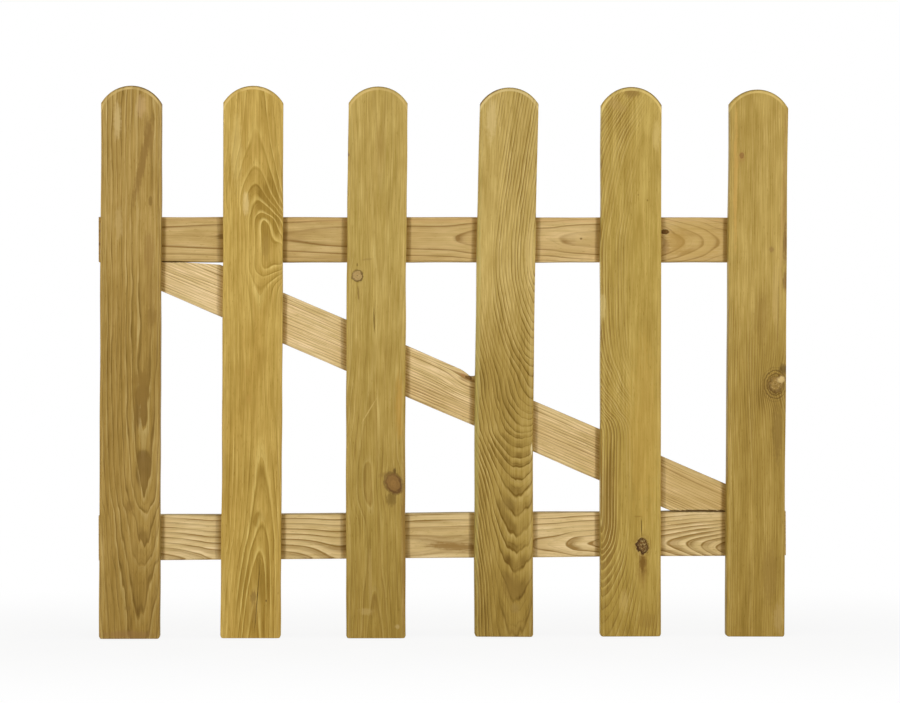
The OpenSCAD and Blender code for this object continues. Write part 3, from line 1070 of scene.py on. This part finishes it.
def addPale(number, piece):
    node = f"pale_{number}"
    broad, _, tall = sizeOf(node)
    lean = math.radians(piece["lean"])
    long = tall - piece["footReach"] * math.sin(lean)
    wide = (broad - (long - piece["shoulderDrop"]) * math.sin(lean)) / math.cos(lean)
    corner, (footArris, archArris) = piece["footCorner"], piece["ends"]

    def shape(a, b, ease, depth):
        side = wide / 2 - piece["arris"] * ease
        u = (2 * a - 1) * side
        past = np.clip(np.abs(u) - (side - corner), 0, corner)
        start = footArris * ease + corner - np.sqrt(corner**2 - past**2)
        arch = piece["arch"] - archArris * ease
        fromTip = u - piece["tip"] * np.clip(b * 8 - 7, 0, 1)
        end = long - piece["arch"] + np.sqrt(arch**2 - np.clip(np.abs(fromTip), 0, arch) ** 2)
        return u, start + b * (end - start)

    along, across = (math.sin(lean), math.cos(lean)), (math.cos(lean), -math.sin(lean))
    place = fittedPlace(shape, node, along, across, wide)
    place["arch"] = (piece["arch"], long - piece["arch"], piece["tip"])
    palePlaces.append((place, piece["bow"]))
    addBoard(node, piece, place, shape, endRadius(piece), gridShares(piece, wide, long))


palePlaces = []
for number, piece in enumerate((pale1, pale2, pale3, pale4, pale5, pale6), start=1):
    addPale(number, whole(piece, paleForm))
print("pales made")


# Rails: straight boards along X, each climbing a little along its length.
railForm = {"arris": 2.5, "ends": (0.7, 0.7), "cornerShare": 0.14, "columns": 26, "rows": 210}

topRail = {
    "seed": 7, "rise": 1.5, "gap": 4.2,
    "early": (204, 175, 116), "lateWood": (156, 122, 68), "tint": (236, 228, 210), "edge": (204, 170, 116),
    "cream": (225, 200, 140), "jag": (7, 90, 0.07), "uneven": 0.1, "late": (0.56, 0.88),
    "band": (9, 520, 0.14), "streak": (2.4, 90, 0.14), "fibre": (0.9, 40, 0.16),
    "side": [(0, 3), (250, 4), (527, 2), (678, 1), (740, 0), (852, -3.4), (1005, -4)],
    "depth": [
        (0, 49), (95, 48), (175, 46.6), (270, 45.4), (360, 43.2), (450, 42.6), (506, 42.2), (527, 41.2),
        (550, 39.9), (600, 39.0), (655, 38.4), (678, 37), (705, 35.9), (735, 35.2), (790, 33.6),
        (812, 34.6), (826, 37), (852, 41.2), (881, 45.4), (912, 50.6), (1005, 56),
    ],
    "knots": [
        {
            "at": (11.4, 826), "size": (3.4, 7), "bend": (9, 18), "proud": 0.1, "rings": 0.8,
            "face": (116, 82, 34), "dark": (96, 64, 26), "rim": (92, 60, 24), "heavy": (0, -1),
        },
    ],
    "shadeAt": (0, 120, 300, 540, 690, 790, 870, 1005),
    "shade": (0.97, 0.96, 0.93, 0.98, 1.06, 1.02, 0.97, 0.97),
    "bold": [((-4, 856), (26, 18), 0.55), ((1, 680), (10, 20), 0.4)],
    "stains": [
        # the first mark is painted shade along the rail's lower edge, in the joint where the brace's upper
        # end meets it
        ((-32.2, 104), (1.5, 34), (96, 68, 32), 0.8), ((4, 181), (4.5, 12), (136, 104, 50), 0.8),
        ((4, 170), (2, 14), (158, 126, 70), 0.5), ((1.5, 703), (1.6, 2.4), (118, 86, 40), 0.8),
        ((0, 872), (40, 54), (196, 160, 84), 0.4), ((-4, 846), (20, 18), (176, 140, 70), 0.5),
        ((-10, 828), (14, 6), (150, 112, 62), 0.5), ((28, 500), (4, 520), (208, 168, 108), 0.35),
    ],
}

bottomRail = {
    "seed": 8, "rise": 4.3, "gap": 7,
    "early": (219, 193, 138), "lateWood": (154, 122, 66), "tint": (236, 228, 210), "edge": (204, 180, 128),
    "cream": (236, 213, 162), "creamShare": 0.5, "jag": (7, 90, 0.07), "uneven": 0.1,
    "streak": (2.4, 90, 0.14), "fibre": (0.9, 40, 0.16), "late": (0.46, 0.88),
    "side": [
        (0, -36), (95, -38), (180, -40), (340, -40), (372, -34), (430, -16), (460, -14), (683, -12.5),
        (832, -13), (903, -19), (1005, -26),
    ],
    "depth": [
        (0, 6), (100, 15), (147, 23), (180, 27), (220, 24), (262, 19), (345, 27), (372, 28), (420, 22),
        (453, 20), (497, 18.6), (547, 20), (600, 21.5), (640, 18.5), (668, 16), (683, 12.7), (698, 8.5),
        (712, 7), (720, 5.9), (728, 3.5), (740, 1.4), (780, 5), (832, 9.4), (1005, 9.4),
    ],
    "hills": [((-30, 350), (22, 56), 0.9), ((-13, 505), (22, 60), 1.0), ((-24, 960), (60, 110), -5.9)],
    "shadeAt": (0, 120, 300, 500, 600, 690, 780, 870, 1005),
    "shade": (0.99, 0.99, 0.95, 0.95, 1.0, 1.06, 1.02, 0.98, 0.97),
    "bold": [
        ((-15, 870), (40, 70), 0.5), ((-12.6, 692), (14, 20), 0.6), ((2, 495), (26, 60), 0.5),
        ((-22, 320), (18, 80), 0.45), ((-26, 130), (14, 60), 0.5), ((14, 130), (26, 60), 0.25),
    ],
    "stains": [
        # the first mark is painted shade along the rail's upper edge, in the joint at the brace's foot
        ((32.4, 922), (1.5, 68), (104, 76, 36), 0.8), ((-16, 520), (7, 50), (148, 114, 58), 0.85, -0.06),
    ],
}


def addRail(node, piece):
    span, _, tall = sizeOf(node)
    climb = math.atan2(piece["rise"], span)
    wide = tall - piece["rise"]
    long = span / math.cos(climb) - wide * math.sin(climb)

    def shape(a, b, ease, depth):
        nip = piece["ends"][0] * ease
        return (2 * a - 1) * (wide / 2 - piece["arris"] * ease), nip + b * (long - 2 * nip)

    along, across = (math.cos(climb), math.sin(climb)), (-math.sin(climb), math.cos(climb))
    place = fittedPlace(shape, node, along, across, wide)
    place["crossedBy"] = palePlaces
    addBoard(node, piece, place, shape, endRadius(piece), gridShares(piece, wide, long))


addRail("top_rail", whole(topRail, railForm))
addRail("bottom_rail", whole(bottomRail, railForm))
print("rails made")


# Brace: cut to the rails at both ends, with a chip where a knot broke out of its upper edge.
# Heels are counted from the top rail's two ends, and the upper cut leaves the rail over the relieved
# length. The chip is a list of places along the edge, with the depth at each.
brace = {
    "wide": 68.7, "latchHeel": 175.7, "hingeHeel": 168.4, "heelGap": 4.3, "relieved": 58, "fit": 0.3,
    "arris": 2.5, "cutArris": 0.7,
    "chip": [(0, 0), (6, 1.0), (11, 2.4), (14, 4.0), (17, 3.8), (20, 2.2), (23, 0.6)], "chipFromEnd": 527,
    "chipFade": 0.25, "columns": 26, "rows": 220,
    "seed": 9, "gap": 3.8,
    "early": (222, 194, 138), "lateWood": (164, 131, 76), "tint": (238, 230, 212), "edge": (206, 190, 132),
    "cream": (238, 217, 161), "creamShare": 0.7, "faint": 0.6, "late": (0.5, 0.88), "jag": (6, 90, 0.3),
    "side": [(0, 60), (550, 66), (1100, 60)],
    "depth": [(0, 8), (550, 12), (1100, 8)],
    "knots": [
        {
            "at": (27.4, 568), "size": (2.6, 5), "bend": (20, 30), "proud": 0.2, "rings": 1.2,
            "ragged": 0.6, "face": (132, 98, 52), "dark": (112, 80, 40), "rim": (104, 70, 34),
            "heavy": (0, -1),
        },
    ],
    "shadeAt": (0, 250, 480, 700, 860, 1000, 1100),
    "shade": (1.05, 1.06, 1.02, 0.99, 0.95, 0.88, 0.87),
    "bold": [((-16, 530), (22, 70), 0.5), ((0, 720), (34, 90), 0.4), ((-4, 90), (34, 90), 0.4)],
    "stains": [
        ((27.4, 559), (2, 4), (176, 118, 70), 0.65), ((24, 566), (4, 15), (158, 122, 68), 0.6),
        # the two marks that lean 0.432 are painted shade along the brace's end cuts, in its joints with the
        # rails
        ((10, 960), (30, 120), (196, 162, 98), 0.4), ((-19.4, 952), (1.9, 54), (78, 54, 24), 0.95, 0.432),
        ((12.6, 108), (1.9, 28), (78, 54, 24), 0.95, 0.432),
    ],
}


def railFace(node, rise, x, side):
    # height of a rail's upper (side 1) or lower (side -1) face at x, in millimetres
    low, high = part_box(node)
    share = (x - low.x / mm) / ((high.x - low.x) / mm)
    middle = (low.z + high.z) / 2 / mm
    return middle + (share - 0.5) * rise + side * ((high.z - low.z) / mm - rise) / 2


def braceEdges(piece):
    # the brace's slope, the marks of its heel and foot, and its four edges as heights at x
    low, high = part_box("top_rail")
    heelX, footX = low.x / mm + piece["latchHeel"], high.x / mm - piece["hingeHeel"]

    def ground(x):
        return railFace("bottom_rail", bottomRail["rise"], x, 1) + piece["fit"]

    def roof(x):
        # the upper end cut leaves the rail towards the heel
        share = np.clip((x - heelX) / piece["relieved"] + 1, 0, 1)
        ceiling = railFace("top_rail", topRail["rise"], x, -1) - piece["fit"]
        return ceiling - share * (piece["heelGap"] - piece["fit"])

    heelZ, footZ = roof(heelX), ground(footX)
    run, drop = footX - heelX, heelZ - footZ
    slope = math.atan2(drop, run) - math.asin(piece["wide"] / math.hypot(run, drop))

    def upper(x):
        return heelZ - (x - heelX) * math.tan(slope)

    def lower(x):
        return footZ - (x - footX) * math.tan(slope)

    return slope, heelX, footX, (upper, roof, lower, ground)


def addBrace(piece):
    node = "diagonal_brace"
    low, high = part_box(node)
    first, last = low.x / mm, high.x / mm
    _, thick, _ = sizeOf(node)
    slope, heelX, footX, (upper, roof, lower, ground) = braceEdges(piece)
    along, across = (math.cos(slope), -math.sin(slope)), (math.sin(slope), math.cos(slope))
    origin = Vector((first * mm, low.y, (upper(first) + lower(first)) / 2 * mm))
    steep = 1 / math.cos(slope)
    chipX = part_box("top_rail")[0].x / mm + piece["chipFromEnd"]
    chipAt, chipLow = zip(*piece["chip"])

    def edges(b, ease, depth):
        x = first + b * (last - first)
        chip = np.interp((x - chipX) * steep, chipAt, chipLow, left=0, right=0)
        chip = chip * (1 - depth / thick * piece["chipFade"]) * steep
        top = upper(x) - piece["arris"] * ease * steep - chip
        foot = lower(x) + piece["arris"] * ease * steep
        nip = piece["cutArris"] * ease
        return x, top, roof(x) - nip, foot, ground(x) + nip

    def shape(a, b, ease, depth):
        x, top, ceiling, foot, floor = edges(b, ease, depth)
        head, base = np.minimum(top, ceiling), np.maximum(foot, floor)
        x = x + (1 - 2 * b) * piece["cutArris"] * ease
        z = base + a * (head - base)
        right, up = x - origin.x / mm, z - origin.z / mm
        return right * across[0] + up * across[1], right * along[0] + up * along[1]

    def radiusAt(a, b):
        # crisper along the end cuts
        _, top, ceiling, foot, floor = edges(b, 0.0, 0.0)
        past = np.where(a > 0.5, top - ceiling, floor - foot)
        return piece["arris"] + (piece["cutArris"] - piece["arris"]) * np.clip(past / 3 + 0.5, 0, 1)

    # closer rows where the outline turns and along the chip
    rows = spread(piece["rows"])
    closer = [(heelX, 4, 7), (heelX - piece["relieved"], 4, 5), (footX, 4, 7), (chipX + 11, 13, 21)]
    for mark, reach, count in closer:
        rows = withMore(rows, (mark - first) / (last - first), reach / (last - first), count)
    place = {"origin": origin, "along": along, "across": across, "wide": piece["wide"]}
    place["crossedBy"] = palePlaces
    addBoard(node, piece, place, shape, radiusAt, (spread(piece["columns"]), rows))


addBrace(whole(brace, {}))
print("brace made")


# Studio: a pale floor at the feet, lamps in front, beside, behind and above, and a dim room.
studio = {
    "floor": (224, 222, 218),
    "floorReach": 12,  # metres, as are the fade's and the lamps' lengths
    "floorWhite": (0.9, 1.0),  # how white the floor shows at the leaf and away from it
    "floorFade": (0.05, 0.8),
    "lampAway": 3.6,
    "lampSize": (0.3, 0.6),
    "lamps": [  # degrees round from the front, degrees up and watts
        (-23, 2.4, 40), (23, 2.4, 40), (-80, 2.4, 40), (80, 2.4, 40),
        (-150, 2.4, 28), (150, 2.4, 28), (0, 84, 22),
    ],
    "room": 0.22,
}


def addFloor(spec):
    far = spec["floorReach"]
    points = [(x, y, cadLow.z) for x, y in ((-far, -far), (far, -far), (far, far), (-far, far))]
    floor = meshObject("floor", points, [(0, 1, 2, 3)])
    sheet = newSheet("floor")
    plain = sheet.node("ShaderNodeBsdfDiffuse", {}, {"Color": linear(spec["floor"])})
    white = sheet.node("ShaderNodeEmission", {}, {"Color": (1, 1, 1, 1), "Strength": 1.0})
    x, y, _ = sheet.objectPlace()
    beside = (x - leafMiddle.x).math("ABSOLUTE") - (cadHigh.x - cadLow.x) / 2
    away = (squared(beside.math("MAXIMUM", 0.0)) + squared(y)) ** 0.5
    near, full = spec["floorWhite"]
    share = sheet.seen() * (sheet.smooth(away, *spec["floorFade"]) * (full - near) + near)
    mixed = sheet.node("ShaderNodeMixShader", {}, {0: share, 1: plain, 2: white})
    sheet.node("ShaderNodeOutputMaterial", {}, {"Surface": mixed}, output=None)
    floor.data.materials.append(sheet.owner)


def addLamp(spec, degrees, climb, power):
    turn, rise = math.radians(degrees), math.radians(climb)
    data = bpy.data.lights.new("lamp", "AREA")
    data.shape = "RECTANGLE"
    data.size, data.size_y = spec["lampSize"]
    data.energy = power
    level = Vector((math.sin(turn), -math.cos(turn), 0)) * math.cos(rise)
    away = (level + Vector((0, 0, math.sin(rise)))) * spec["lampAway"]
    aimed("lamp", data, leafMiddle + away, leafMiddle)


def addRoom(spec):
    world = bpy.data.worlds.new("room")
    bpy.context.scene.world = world
    sheet = Sheet(world)
    strength = sheet.seen() * (1 - spec["room"]) + spec["room"]
    back = sheet.node("ShaderNodeBackground", {}, {"Color": (1, 1, 1, 1), "Strength": strength})
    sheet.node("ShaderNodeOutputWorld", {}, {"Surface": back}, output=None)


addFloor(studio)
for degrees, climb, power in studio["lamps"]:
    addLamp(studio, degrees, climb, power)
addRoom(studio)
bpy.context.scene.view_settings.view_transform = "Standard"
print("studio set")
